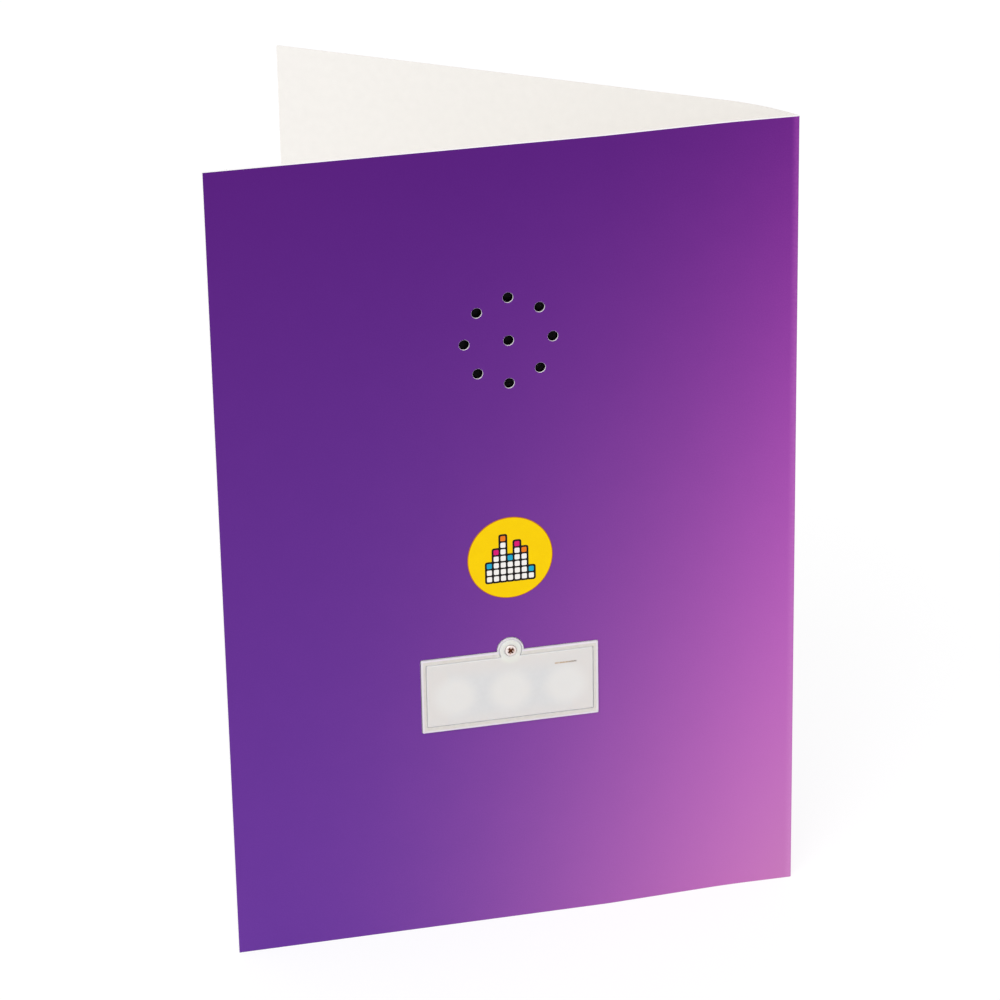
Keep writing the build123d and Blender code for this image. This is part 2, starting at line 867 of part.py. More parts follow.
def supply_joints():
    """Where the battery leads start, on the contact tails, and end, on the circuit board."""
    tail = tail_end() - joint_length / 2 - joint_inset
    pad = circuit_height - circuit_tall / 2 + pad_inset
    ends = []
    for place, side in ((cell_places()[-1], 1), (cell_places()[0], -1)):
        pad_place = circuit_from_fold - side * supply_pad_spread
        ends.append(((place, tail), (pad_place, pad)))
    return ends


def signal_joints():
    """Where the speaker leads start, on the circuit board, and end, on the speaker's terminals."""
    pad = circuit_height + circuit_tall / 2 - pad_inset
    tag = terminal_height() - terminal_tall / 2 + pad_inset
    ends = []
    for side in (1, -1):
        pad_place = circuit_from_fold - side * signal_pad_spread
        tag_place = speaker_from_fold - side * signal_tag_spread
        ends.append(((pad_place, pad), (tag_place, tag)))
    return ends


def solder_joints():
    mounds = []
    for start, end in supply_joints() + signal_joints():
        mounds.append(solder_joint(*start))
        mounds.append(solder_joint(*end))
    return Compound(children=mounds)


def lead(name, start, end, radius):
    """An insulated lead from the upper side of one solder joint to the lower side of the next."""
    low = start[1] + joint_length / 2
    high = end[1] - joint_length / 2
    straight = (high - low) * lead_straight_share
    points = [(-start[0], lead_depth, low), (-start[0], lead_depth, low + straight)]
    points += [(-end[0], lead_depth, high - straight), (-end[0], lead_depth, high)]
    route = FilletPolyline(*points, radius=[radius, radius])
    section = Plane(origin=route @ 0, z_dir=route % 0) * Circle(lead_diameter / 2)
    tube = sweep(section, path=route)
    share = tube.volume / (pi * lead_diameter ** 2 / 4 * route.length)
    print(name, "bend radii", radius, "length", round(route.length, 2), "volume ratio", round(share, 4))
    return tube


# Inner liner
def liner_ends():
    return liner_from_fold, leaf_width - liner_free_edge_margin


def along_leaf(lift, low, high):
    """Plan points of a line lifted off the leaf's inner face, between two distances from the fold."""
    inner = [p for p in beside(back_line, -lift) if low < -p.X < high]
    first = Vector(-low, depth_at(low, lift))
    last = Vector(-high, depth_at(high, lift))
    return [first] + inner + [last]


def sheet_on_leaf(near, far, low, high):
    """A sheet that follows the back leaf's inner face, between two lifts and two distances."""
    outline = along_leaf(near, low, high) + along_leaf(far, low, high)[::-1]
    return upright(outline, liner_end_margin, card_height - 2 * liner_end_margin)


def liner_tape():
    low, high = liner_ends()
    sheet = sheet_on_leaf(0, glue_thickness, low, high)
    w = liner_tape_width
    wide = high - low - 2 * w
    tall = card_height - 2 * liner_end_margin - 2 * w
    return sheet - box((low + high) / 2, card_height / 2, wide, tall, -reach, reach)


def plateau_limits():
    """Distances from the fold and heights of the raised middle, round the whole module."""
    near = box_from_fold - box_width / 2 - plateau_margin_fold
    far = box_from_fold + box_width / 2 + plateau_margin_free
    low = box_height - box_tall / 2 - plateau_margin_low
    top = speaker_height + speaker_diameter / 2 + plateau_margin_top
    return near, far, low, top


def tent(inset):
    """The raised block under the liner's outer face, or under a face inset from it."""
    near, far, low, top = plateau_limits()
    base = board + glue_thickness
    deep = liner_outer - inset - base
    full = liner_outer - base
    run = plateau_slope * deep / full
    slant = inset * (sqrt(full ** 2 + plateau_slope ** 2) - plateau_slope) / full
    wide = far - near - 2 * slant
    tall = top - low - 2 * slant
    block = Wedge(wide + 2 * run, deep, tall + 2 * run, run, run, wide + run, tall + run)
    centre = block.bounding_box().center()
    shift = Vector(-(near + far) / 2, base + deep / 2, (low + top) / 2) - centre
    return Pos(*shift) * block


def liner():
    low, high = liner_ends()
    sheet = sheet_on_leaf(glue_thickness, glue_thickness + liner_sheet, low, high)
    sheet += tent(0)
    sheet -= tent(liner_sheet)
    below = along_leaf(glue_thickness, low - 1, high + 1)
    below += [Vector(-high - 1, -reach), Vector(1 - low, -reach)]
    sheet -= upright(below, -1, card_height + 2)
    slit_tall = tongue_width + 2 * tongue_clearance
    slit_near = tongue_depth - tongue_clearance
    slit_far = tongue_depth + tongue_thickness + tongue_clearance
    near_plateau = plateau_limits()[0]
    slit_place = near_plateau - plateau_slope / 2
    sheet -= box(slit_place, tongue_height, plateau_slope, slit_tall, slit_near, slit_far)
    for offset, radius in (
        (button_offset, button_diameter / 2 + panel_hole_clearance),
        (lamp_offset, lamp_diameter / 2 + panel_hole_clearance / 2),
        (microphone_offset, microphone_hole / 2),
    ):
        place, height = on_circuit(offset)
        sheet -= slab(on_leaf(place, height, Circle(radius)), liner_inner - 1, liner_outer + 1)
    return sheet


def pieces():
    nodes = {
        "back_board": back_board(),
        "front_board": front_board(),
        "spine_crease": spine_crease(),
        "round_label": round_label(),
        "inner_liner": liner(),
        "liner_tape": liner_tape(),
        "battery_box": battery_box(),
        "box_tape": box_tape(),
        "battery_cover": battery_cover(),
        "cover_screw": cover_screw(),
        "negative_contact": negative_contact(),
        "positive_contact": positive_contact(),
        "circuit_board": circuit_board(),
        "circuit_tape": circuit_tape(),
        "sound_chip": sound_chip(),
        "memory_chip": memory_chip(),
        "resistors": resistors(),
        "capacitors": capacitors(),
        "microphone": microphone(),
        "microphone_felt": microphone_felt(),
        "record_lamp": record_lamp(),
        "switch_base": switch_base(),
        "record_button": record_button(),
        "play_switch_base": play_switch_base(),
        "play_switch_pad": play_switch_pad(),
        "play_switch_foot": play_switch_foot(),
        "play_switch_leaf": play_switch_leaf(),
        "tongue_slider": tongue_slider(),
        "tongue_strap": tongue_strap(),
        "tongue_anchor": tongue_anchor(),
        "speaker_gasket": speaker_gasket(),
        "speaker_frame": speaker_frame(),
        "speaker_surround": speaker_surround(),
        "speaker_cone": speaker_cone(),
        "voice_coil": voice_coil(),
        "speaker_magnet": speaker_magnet(),
        "speaker_top_plate": speaker_top_plate(),
        "speaker_yoke": speaker_yoke(),
        "speaker_terminals": speaker_terminals(),
        "solder_joints": solder_joints(),
    }
    for index, place in enumerate(cell_places(), start=1):
        nodes[f"button_cell_{index}"] = button_cell(place)
    for index in range(1, cell_count):
        nodes[f"series_contact_{index}"] = series_contact(index)
    for kind, joints, radius in (
        ("battery", supply_joints(), supply_lead_radius),
        ("speaker", signal_joints(), signal_lead_radius),
    ):
        for (start, end), colour in zip(joints, ("red", "black")):
            name = f"{kind}_lead_{colour}"
            nodes[name] = lead(name, start, end, radius)
    return nodes


def origin_shift(nodes):
    """Puts the origin under the middle of the whole card's box."""
    boxes = [piece.bounding_box() for piece in nodes.values()]
    low = [min(getattr(b.min, axis) for b in boxes) for axis in "XYZ"]
    high = [max(getattr(b.max, axis) for b in boxes) for axis in "XYZ"]
    return Vector(-(low[0] + high[0]) / 2, -(low[1] + high[1]) / 2, -low[2])


nodes = pieces()
shift = origin_shift(nodes)
os.makedirs("parts", exist_ok=True)
for name, piece in nodes.items():
    export_step(Pos(*shift) * piece, f"parts/{name}.step")

print("origin shift", [round(v, 4) for v in shift])
print("fold axis", round(fold.X + shift.X, 4), round(fold.Y + shift.Y, 4))
print("fold range", closed_angle - opening_angle, flat_angle - opening_angle)
gutters_when_flat = flat_angle + front_gutter_bend - back_gutter_bend
print("gutter ends apart when flat, degrees", round(180 + 2 * end_mitre - gutters_when_flat, 2))
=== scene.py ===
import json
import math

import bmesh
import bpy
from mathutils import Matrix, Vector
from mathutils.geometry import delaunay_2d_cdt

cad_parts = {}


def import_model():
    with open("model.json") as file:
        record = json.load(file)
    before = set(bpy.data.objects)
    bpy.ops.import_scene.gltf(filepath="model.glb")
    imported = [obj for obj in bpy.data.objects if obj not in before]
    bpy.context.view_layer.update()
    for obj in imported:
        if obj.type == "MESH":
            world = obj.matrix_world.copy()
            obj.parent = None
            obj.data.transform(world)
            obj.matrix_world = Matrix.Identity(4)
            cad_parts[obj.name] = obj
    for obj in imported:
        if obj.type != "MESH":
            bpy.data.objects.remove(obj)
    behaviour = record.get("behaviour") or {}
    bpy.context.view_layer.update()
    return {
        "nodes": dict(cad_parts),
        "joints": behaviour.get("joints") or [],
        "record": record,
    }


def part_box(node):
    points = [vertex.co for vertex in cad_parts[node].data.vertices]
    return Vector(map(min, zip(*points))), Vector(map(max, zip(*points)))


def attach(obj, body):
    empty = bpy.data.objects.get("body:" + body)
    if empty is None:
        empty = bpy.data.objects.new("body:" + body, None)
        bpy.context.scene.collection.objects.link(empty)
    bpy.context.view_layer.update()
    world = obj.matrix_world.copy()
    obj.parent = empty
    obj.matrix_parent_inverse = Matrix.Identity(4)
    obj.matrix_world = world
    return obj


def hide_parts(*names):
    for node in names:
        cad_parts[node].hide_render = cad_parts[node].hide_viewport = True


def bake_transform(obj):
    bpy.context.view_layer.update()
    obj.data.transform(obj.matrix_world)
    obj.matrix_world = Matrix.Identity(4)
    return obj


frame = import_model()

MM = 0.001
WELD = 1e-7
noise_range = (0.3, 0.7)
broad_grains = 9
sharp_angle = 30.0
crossing_limit = 1e-6 * MM

# Camera, as its target, its angles in degrees, its distance and its lens in millimetres
view_target = Vector((-0.002920, -0.047624, 0.117106))
view_azimuth = -13.39567
view_elevation = 22.87658
view_roll = -1.07073
view_distance = 1.020626
view_lens = 147.58
sensor_width = 36.0

# Card sheet
back_kink_roundings = (6.0 * MM, 1.8 * MM)
front_kink_roundings = (10.0 * MM,)
wide_rounding = 2.0 * MM
kink_columns = 10
arc_column = 0.2 * MM
seam_column = 0.4 * MM
first_inner_run = 0.9 * MM
edge_bevel = 0.17 * MM
hole_bevel = 0.035 * MM
support_run = 0.6 * MM
paper_inside = ((245, 242, 238), (249, 246, 242))
paper_cut = ((250, 246, 249), (254, 252, 253))
paper_shine = 0.25
paper_rough = (0.62, 0.72)
paper_grain = 0.25 * MM
paper_relief = 0.006 * MM

# Print on the card: a colour for each corner of a leaf, a lilac over the fold's foot, how fast
# they change between, and a painted highlight along the spine
print_top_free = (90, 34, 127)
print_top_fold = (111, 41, 137)
print_foot_free = (110, 61, 160)
print_foot_fold = (196, 84, 206)
print_lilac = (203, 128, 190)
# Paler print at the spine's top and foot: a painted highlight
print_spine_highlight_top = (170, 78, 182)
print_spine_highlight_foot = (218, 146, 210)
top_change = 4.3
foot_change = 3.2
down_change = 0.97
lilac_change = 2.0
print_cloud = 0.008
print_cloud_grain = 9.0 * MM
print_dots = 0.03
print_dot_grain = 0.35 * MM
print_gloss = 0.010
print_shine = 0.15
print_rough = (0.41, 0.43)
print_relief = 0.003 * MM
print_relief_grain = 0.5 * MM
# Painted highlight along the spine: its band from the fold, its patch shares and their grain
spine_highlight_band = (0.2 * MM, 2.2 * MM)
spine_highlight_shares = (0.3, 0.6)
spine_highlight_grain = 0.8 * MM

# Round label, from its centre
label_bevel = 0.05 * MM
# Width of a darker ring round the label's rim: painted shade
label_shade_ring_width = 0.22 * MM
label_points = 96
label_shine = 0.08
label_rough = (0.30, 0.38)
label_edge_rough = (0.5, 0.6)
label_grain = 0.4 * MM
label_relief = 0.003 * MM
bar_segments = (3, 5, 7, 4, 6, 5, 2)
bar_pitch = 1.8 * MM
bar_width = 1.3 * MM
segment_height = 1.38 * MM
segment_gap = 0.42 * MM
segment_corner = 0.28 * MM
corner_steps = 4
outline_width = 0.5 * MM
outline_corner = 0.6 * MM
bars_low = -6.1 * MM

# Tongue strap
strap_start_run = 14.2 * MM
strap_thickness = 0.26 * MM
strap_bend_radius = 1.5 * MM
strap_end_run = 11.4 * MM
strap_glue = 0.1 * MM
strap_arc_steps = 14
strap_steps = 6
strap_white = ((236, 235, 231), (243, 242, 238))
strap_rough = (0.3, 0.4)
strap_grain = 1.6 * MM
strap_relief = 0.002 * MM

# Battery box, seen from outside: the rim's bands round the cover, a painted highlight along its
# outer line, painted shade in the gap between it and the card, painted light on the tab round
# the screw, and painted light on the walls of the cover's gap
rim_side_band = 1.3 * MM
rim_foot_band = 1.5 * MM
rim_height = 20.1 * MM
rim_dull = ((230, 225, 217), (237, 232, 225))
# Painted highlight along the rim's outer edge: its colour and the band it fills inside the outline
rim_highlight = (251, 240, 248)
rim_highlight_line = (0.55 * MM, 0.35 * MM)
# Painted shade in the gap between the box and the card: its depths, its widths and its colour
card_gap_shade_depth = (0.02 * MM, 0.15 * MM)
card_gap_shade_width = (0.15 * MM, 0.1 * MM)
card_gap_shade = (84, 52, 92)
tab_radius = 3.4 * MM
# Painted light on the tab round the screw: where it fades and its colour
tab_light_fade = (1.2 * tab_radius, 0.7 * tab_radius)
tab_light = (246, 247, 237)
milky_rough = (0.4, 0.5)
milky_grain = 1.2 * MM
milky_relief = 0.01 * MM
glow_depth = 0.9 * MM
glow_shares = (1.0, 0.95, 0.9)
# Painted light on the walls of the cover's gap: where it starts behind the front, and its colour
wall_light_start = (0.025 * MM, 0.1 * MM)
wall_light = (255, 254, 252)

# Battery cover: greyer between the cells, warmer past them, painted light over each cell, with a
# rubbed line
cover_grey = ((233, 233, 232), (236, 236, 235))
cover_warm = (239, 235, 231)
# Painted light over each cell: its colour and the radii over which it fades
cover_cell_light = (245, 243, 239)
cell_light_radii = (7.2 * MM, 3.0 * MM)
cell_row_side = (3.0 * MM, 9.0 * MM)
cell_row_end = (14.5 * MM, 17.0 * MM)
rub_light = (203, 172, 134)
rub_dark = (98, 82, 70)
rub_half_height = 0.27 * MM
rub_above_contact = 0.3 * MM
rub_fade = 0.3 * MM
rub_grain = 0.5 * MM
rub_patches = (0.4, 0.55, 0.55, 1.0)

# Cover screw, with its depths below the head's top, and how much rougher the recess is
screw_nickel = ((232, 216, 210), (253, 245, 243))
screw_grain = 0.5 * MM
screw_rough = 0.3
recess_rougher = 0.35
recess_depth = 0.35 * MM
recess_start = (0.1 * recess_depth, 0.6 * recess_depth)
recess_end = (1.5 * recess_depth, 1.2 * recess_depth)
# Dark brown in the driver recess: partly its own brown, partly painted shade
recess_brown_shade = (104, 58, 38)
stain_radius = 1.05 * MM
stain_grain = 0.3 * MM
stain_patches = (0.42, 0.54, 0.15, 0.85)
stain_brown = (152, 98, 66)

# Other metal and wire, and the circuit board
metal_relief = 0.004 * MM
turning_pitch = 0.22 * MM
turning_relief = 0.003 * MM
turning_grain = 1.5 * MM
turning_share = 0.12
turning_colours = (0.25, 0.75)
turning_roughs = (0.2, 0.8)
wire_pitch = 0.16 * MM
wire_relief = 0.02 * MM
wire_copper = ((120, 58, 26), (206, 122, 70))
wire_grain = 0.6 * MM
wire_rough = (0.28, 0.4)
track_pitch = 1.6 * MM
track_block = 7.0 * MM
track_relief = 0.02 * MM
track_edge = (0.55, 0.7)
track_patches = (0.45, 0.5)
track_green = (62, 138, 72)
mask_green = ((20, 88, 44), (30, 106, 54))
mask_grain = 2.0 * MM
mask_rough = (0.3, 0.42)

# Light, with the lamp's elevation and azimuth in degrees
world_light = 0.68
key_strength = 1.15
key_spread = 40.0
key_direction = (38.0, -34.0)
floor_share = 0.28
floor_glow = 1.12
floor_size = 12.0
floor_grey = 0.9


def linear(value):
    """A colour level from 0 to 255 as a linear share of light."""
    share = value / 255
    return share / 12.92 if share <= 0.04045 else ((share + 0.055) / 1.055) ** 2.4


def tone(colour, less=0.0):
    """A written colour as four linear numbers, with what the gloss adds taken off."""
    return tuple(max(linear(v) - less, 0.0) for v in colour) + (1.0,)


# Materials

class Surface:
    """A material with one Principled shader, and short ways to add nodes to it."""

    def __init__(self, name, **sockets):
        self.material = bpy.data.materials.new(name)
        self.material.use_nodes = True
        self.tree = self.material.node_tree
        self.shader = self.tree.nodes["Principled BSDF"]
        for socket, value in sockets.items():
            self.shader.inputs[socket.replace("_", " ")].default_value = value

    def node(self, kind, **settings):
        made = self.tree.nodes.new("ShaderNode" + kind)
        for key, value in settings.items():
            setattr(made, key, value)
        return made

    def link(self, output, socket):
        self.tree.links.new(output, socket)

    def into(self, output, name):
        self.link(output, self.shader.inputs[name])

    def put(self, socket, value):
        """Sets a socket to a number, or links an output to it."""
        if isinstance(value, bpy.types.NodeSocket):
            self.link(value, socket)
        else:
            socket.default_value = value

    def maths(self, operation, *values, clamp=False):
        made = self.node("Math", operation=operation, use_clamp=clamp)
        for socket, value in zip(made.inputs, values):
            self.put(socket, value)
        return made.outputs[0]

    def span(self, value, low, high, out_low=0.0, out_high=1.0, smooth=False):
        kind = "SMOOTHSTEP" if smooth else "LINEAR"
        made = self.node("MapRange", interpolation_type=kind)
        for socket, item in zip(made.inputs, (value, low, high, out_low, out_high)):
            self.put(socket, item)
        return made.outputs[0]

    def place(self, kind="Object"):
        return self.node("TexCoord").outputs[kind]

    def parts(self, vector):
        made = self.node("SeparateXYZ")
        self.link(vector, made.inputs[0])
        return made.outputs

    def radius(self, place, centre):
        """How far a place is from the line through a centre that runs from front to back."""
        across, _, height = self.parts(place)
        dx = self.maths("SUBTRACT", across, centre.x)
        dz = self.maths("SUBTRACT", height, centre.z)
        squared = self.maths("ADD", self.maths("MULTIPLY", dx, dx), self.maths("MULTIPLY", dz, dz))
        return self.maths("SQRT", squared)

    def off(self, value, middle):
        """How far a value is from a middle, either way."""
        return self.maths("ABSOLUTE", self.maths("SUBTRACT", value, middle))

    def behind(self, depth, face, steps):
        """0 at the first step behind a face and 1 at the second."""
        return self.span(depth, face + steps[0], face + steps[1])

    def noise(self, size, place, detail=3.0):
        """Noise whose grains have this size, in metres."""
        made = self.node("TexNoise")
        made.inputs["Scale"].default_value = 1 / size
        made.inputs["Detail"].default_value = detail
        self.link(place, made.inputs["Vector"])
        return made.outputs["Fac"]

    def ramp(self, value, stops):
        made = self.node("ValToRGB")
        elements = made.color_ramp.elements
        places = sorted(stops)
        elements[0].position, elements[1].position = places[0], places[-1]
        for place in places[1:-1]:
            elements.new(place)
        for element, place in zip(elements, places):
            element.color = stops[place]
        self.link(value, made.inputs[0])
        return made.outputs[0]

    def spread(self, noise, low, high):
        """A noise's usual range, stretched from low to high."""
        return self.span(noise, *noise_range, low, high)

    def tint(self, noise, dark, light):
        """A colour that goes from dark to light over a noise's usual range."""
        return self.ramp(noise, {noise_range[0]: tone(dark), noise_range[1]: tone(light)})

    def mix(self, share, first, second):
        made = self.node("Mix", data_type="RGBA")
        self.put(made.inputs[0], share)
        self.put(made.inputs[6], first)
        self.put(made.inputs[7], second)
        return made.outputs[2]

    def bump(self, height, depth):
        made = self.node("Bump")
        made.inputs["Distance"].default_value = depth
        self.link(height, made.inputs["Height"])
        self.into(made.outputs[0], "Normal")


def grained(name, dark, light, roughness, grain, bump, coords="Object", **sockets):
    """A surface whose colour and roughness wander between two ends, with a fine relief."""
    made = Surface(name, **sockets)
    place = made.place(coords)
    broad = made.noise(grain * broad_grains, place, 2.0)
    fine = made.noise(grain, place, 4.0)
    wander = made.maths("MULTIPLY_ADD", fine, 0.5, made.maths("MULTIPLY", broad, 0.5))
    made.into(made.tint(wander, dark, light), "Base Color")
    made.into(made.spread(wander, *roughness), "Roughness")
    made.bump(fine, bump)
    return made


def print_surface():
    """Coated print: a violet that turns lilac towards the fold's foot, with a painted highlight in
    patches along the spine.
    """
    made = Surface("print", Specular_IOR_Level=print_shine)
    place = made.place("UV")
    across, height, _ = made.parts(place)
    run = made.maths("ABSOLUTE", across)
    near = made.maths("MULTIPLY_ADD", run, -1 / leaf_width, 1.0)
    low = made.maths("MULTIPLY_ADD", height, -1 / card_height, 1.0)
    cloud = made.noise(print_cloud_grain, place, 2.0)
    dots = made.noise(print_dot_grain, place, 2.0)
    broad = made.spread(cloud, -print_cloud, print_cloud)
    wander = made.maths("ADD", broad, made.spread(dots, -print_dots, print_dots))
    near = made.maths("MAXIMUM", near, 0.0)
    low = made.maths("MAXIMUM", low, 0.0)
    free_top, fold_top = tone(print_top_free, print_gloss), tone(print_top_fold, print_gloss)
    free_foot, fold_foot = tone(print_foot_free, print_gloss), tone(print_foot_fold, print_gloss)
    top = made.mix(made.maths("POWER", near, top_change), free_top, fold_top)
    foot_share = made.maths("ADD", made.maths("POWER", near, foot_change), wander, clamp=True)
    foot = made.mix(foot_share, free_foot, fold_foot)
    down = made.maths("ADD", made.maths("POWER", low, down_change), wander, clamp=True)
    colour = made.mix(down, top, foot)
    lilac_share = made.maths("POWER", made.maths("MULTIPLY", near, low), lilac_change)
    colour = made.mix(lilac_share, colour, tone(print_lilac, print_gloss))
    # Painted highlight: paler print in patches along the spine, where the rounded fold catches
    # light
    edge = made.span(run, *spine_highlight_band, 1.0, 0.0, smooth=True)
    patches = made.spread(made.noise(spine_highlight_grain, place), *spine_highlight_shares)
    spine_highlight_share = made.maths("MULTIPLY", edge, patches)
    highlight_top, highlight_foot = tone(print_spine_highlight_top, print_gloss), tone(print_spine_highlight_foot, print_gloss)
    spine = made.mix(made.maths("POWER", low, down_change), highlight_top, highlight_foot)
    made.into(made.mix(spine_highlight_share, colour, spine), "Base Color")
    made.into(made.spread(cloud, *print_rough), "Roughness")
    made.bump(made.noise(print_relief_grain, place), print_relief)
    return made.material


def paper_surface(name, dark, light):
    """Uncoated paper, inside the card or at its cut edges."""
    made = grained(name, dark, light, paper_rough, paper_grain, paper_relief, "UV")
    made.shader.inputs["Specular IOR Level"].default_value = paper_shine
    return made.material


# The card's two leaves in plan

fold_joint = next(j for j in frame["joints"] if j["name"] == "card_fold")
fold = Vector(fold_joint["pos_m"][:2])
back_low, back_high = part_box("back_board")
card_height = back_high.z - back_low.z


def plan_corners(node):
    """The corners of a board in plan, nearest the fold first."""
    mesh = frame["nodes"][node].data
    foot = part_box(node)[0].z + WELD
    found = {tuple(round(c, 7) for c in v.co.xy) for v in mesh.vertices if v.co.z < foot}
    return sorted((Vector(p) for p in found), key=lambda p: (p - fold).length)


back_corners = plan_corners("back_board")
front_corners = plan_corners("front_board")
middle = (back_corners[-1] + front_corners[-1]) / 2


class Leaf:
    """One leaf's inner face in plan, from the fold to its free edge, with rounded kinks."""

    def __init__(self, corners, roundings):
        pairs = list(zip(corners[2::2], corners[3::2]))
        self.line = [fold] + [min(p, key=lambda c: (c - middle).length) for p in pairs]
        self.ways = [(b - a).normalized() for a, b in zip(self.line, self.line[1:])]
        self.runs = [0.0]
        for a, b in zip(self.line, self.line[1:]):
            self.runs.append(self.runs[-1] + (b - a).length)
        self.roundings = roundings
        self.board = (pairs[-1][0] - pairs[-1][1]).length
        self.mitre = abs((corners[1] - fold).dot(self.ways[0]))

    def outward(self, way):
        side = Vector((way.y, -way.x))
        return side if side.dot(middle - fold) < 0 else -side

    def at(self, run):
        """The inner face's point at a run from the fold, and the way out of the card there."""
        for i, rounding in enumerate(self.roundings, 1):
            share = (run - self.runs[i] + rounding) / (2 * rounding)
            if 0 < share < 1:
                start = self.line[i] - self.ways[i - 1] * rounding
                end = self.line[i] + self.ways[i] * rounding
                first = start.lerp(self.line[i], share)
                second = self.line[i].lerp(end, share)
                way = (second - first).normalized()
                return first.lerp(second, share), self.outward(way)
        i = max(k for k in range(len(self.ways)) if k == 0 or run >= self.runs[k])
        point = self.line[i] + self.ways[i] * (run - self.runs[i])
        return point, self.outward(self.ways[i])

    def stations(self):
        """Runs that need a column of points: the first, those round each kink, and the last."""
        found = [self.mitre, first_inner_run]
        for kink, rounding in zip(self.runs[1:], self.roundings):
            start = kink - rounding
            if rounding > wide_rounding:
                found.append(start - support_run)
            found += [start + 2 * rounding * k / kink_columns for k in range(kink_columns + 1)]
            if rounding > wide_rounding:
                found.append(kink + rounding + support_run)
        return found + [self.runs[-1]]


back = Leaf(back_corners, back_kink_roundings)
front = Leaf(front_corners, front_kink_roundings)
leaf_width = back.runs[-1]
board = back.board
back_out = back.outward(back.ways[0])
front_out = front.outward(front.ways[0])
bisector = (back_out + front_out).normalized()
seam_half_angle = back_out.angle(bisector) + math.atan2(back.mitre, board)


def across_of(run):
    return run + seam_column - back.mitre


def on_card(across, height, lift):
    """A point of the folded card, lifted off its inner face."""
    if abs(across) < seam_column - WELD:
        turn = -seam_half_angle / 2 * (across / arc_column)
        point, out = fold, bisector.copy()
        out.rotate(Matrix.Rotation(turn, 2))
    else:
        leaf = back if across > 0 else front
        point, out = leaf.at(abs(across) - seam_column + leaf.mitre)
    if lift == 0 and abs(across) < across_of(first_inner_run) - WELD:
        point = fold
    plan = point + out * lift
    return Vector((plan.x, plan.y, height))


# Meshes

def outlines(node):
    """The closed outlines of a node's flat front face, as points across and up."""
    mesh = frame["nodes"][node].data
    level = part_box(node)[0].y + WELD
    edges = set()
    for face in mesh.polygons:
        corners = [mesh.vertices[i].co for i in face.vertices]
        if all(c.y < level for c in corners):
            keys = [(round(c.x, 7), round(c.z, 7)) for c in corners]
            edges |= set(zip(keys, keys[1:] + keys[:1]))
    following = {a: b for a, b in edges if (b, a) not in edges}
    found = []
    while following:
        start, at = following.popitem()
        loop = [start]
        while at != start:
            loop.append(at)
            at = following.pop(at)
        found.append([Vector(p) for p in loop])
    return found


def inside(point, loop):
    """True if a flat point lies inside a closed outline."""
    odd = False
    for a, b in zip(loop, loop[1:] + loop[:1]):
        if (a.y > point.y) != (b.y > point.y):
            odd ^= point.x < a.x + (point.y - a.y) / (b.y - a.y) * (b.x - a.x)
    return odd


def signed_area(loop):
    return sum(a.cross(b) for a, b in zip(loop, loop[1:] + loop[:1])) / 2


def grown(loop, distance):
    """An outline moved outwards all round."""
    way = 1 if signed_area(loop) > 0 else -1
    found = []
    for before, at, after in zip(loop[-1:] + loop[:-1], loop, loop[1:] + loop[:1]):
        first = (at - before).normalized()
        second = (after - at).normalized()
        out = Vector((first.y + second.y, -first.x - second.x)).normalized() * way
        found.append(at + out * distance)
    return found


def triangles(points, edges):
    """Triangles over flat points that keep the given edges, and any points added by crossings."""
    scaled = [p / MM for p in points]
    made = delaunay_2d_cdt(scaled, edges, [], 0, crossing_limit / MM)
    return [p * MM for p in made[0]], made[2], made[3]


class Builder:
    """Collects points, faces, materials and flat coordinates into one mesh."""

    def __init__(self, name, materials):
        self.name, self.materials = name, materials
        self.points, self.flats, self.faces, self.kinds = [], [], [], []
        self.known = {}

    def point(self, place, flat):
        """The number of the point at a place, made once."""
        key = tuple(round(c / WELD) for c in place)
        if key not in self.known:
            self.known[key] = len(self.points)
            self.points.append(place)
            self.flats.append(flat)
        return self.known[key]

    def face(self, corners, kind):
        corners = [c for i, c in enumerate(corners) if c != corners[i - 1]]
        if len(set(corners)) > 2:
            self.faces.append(corners)
            self.kinds.append(kind)

    def band(self, first, second, kind):
        """Faces between two closed rows of points."""
        for i in range(len(first)):
            k = (i + 1) % len(first)
            self.face([first[i], first[k], second[k], second[i]], kind)

    def build(self):
        mesh = bpy.data.meshes.new(self.name)
        mesh.from_pydata(self.points, [], self.faces)
        flat = mesh.uv_layers.new(name="flat")
        for loop in mesh.loops:
            flat.data[loop.index].uv = self.flats[loop.vertex_index]
        for item in self.materials:
            mesh.materials.append(item)
        mesh.polygons.foreach_set("material_index", self.kinds)
        shell = bmesh.new()
        shell.from_mesh(mesh)
        bmesh.ops.recalc_face_normals(shell, faces=shell.faces)
        shell.to_mesh(mesh)
        shell.free()
        mesh.shade_smooth()
        mesh.set_sharp_from_angle(angle=math.radians(sharp_angle))
        made = bpy.data.objects.new(self.name, mesh)
        bpy.context.scene.collection.objects.link(made)
        return made


# Card sheet

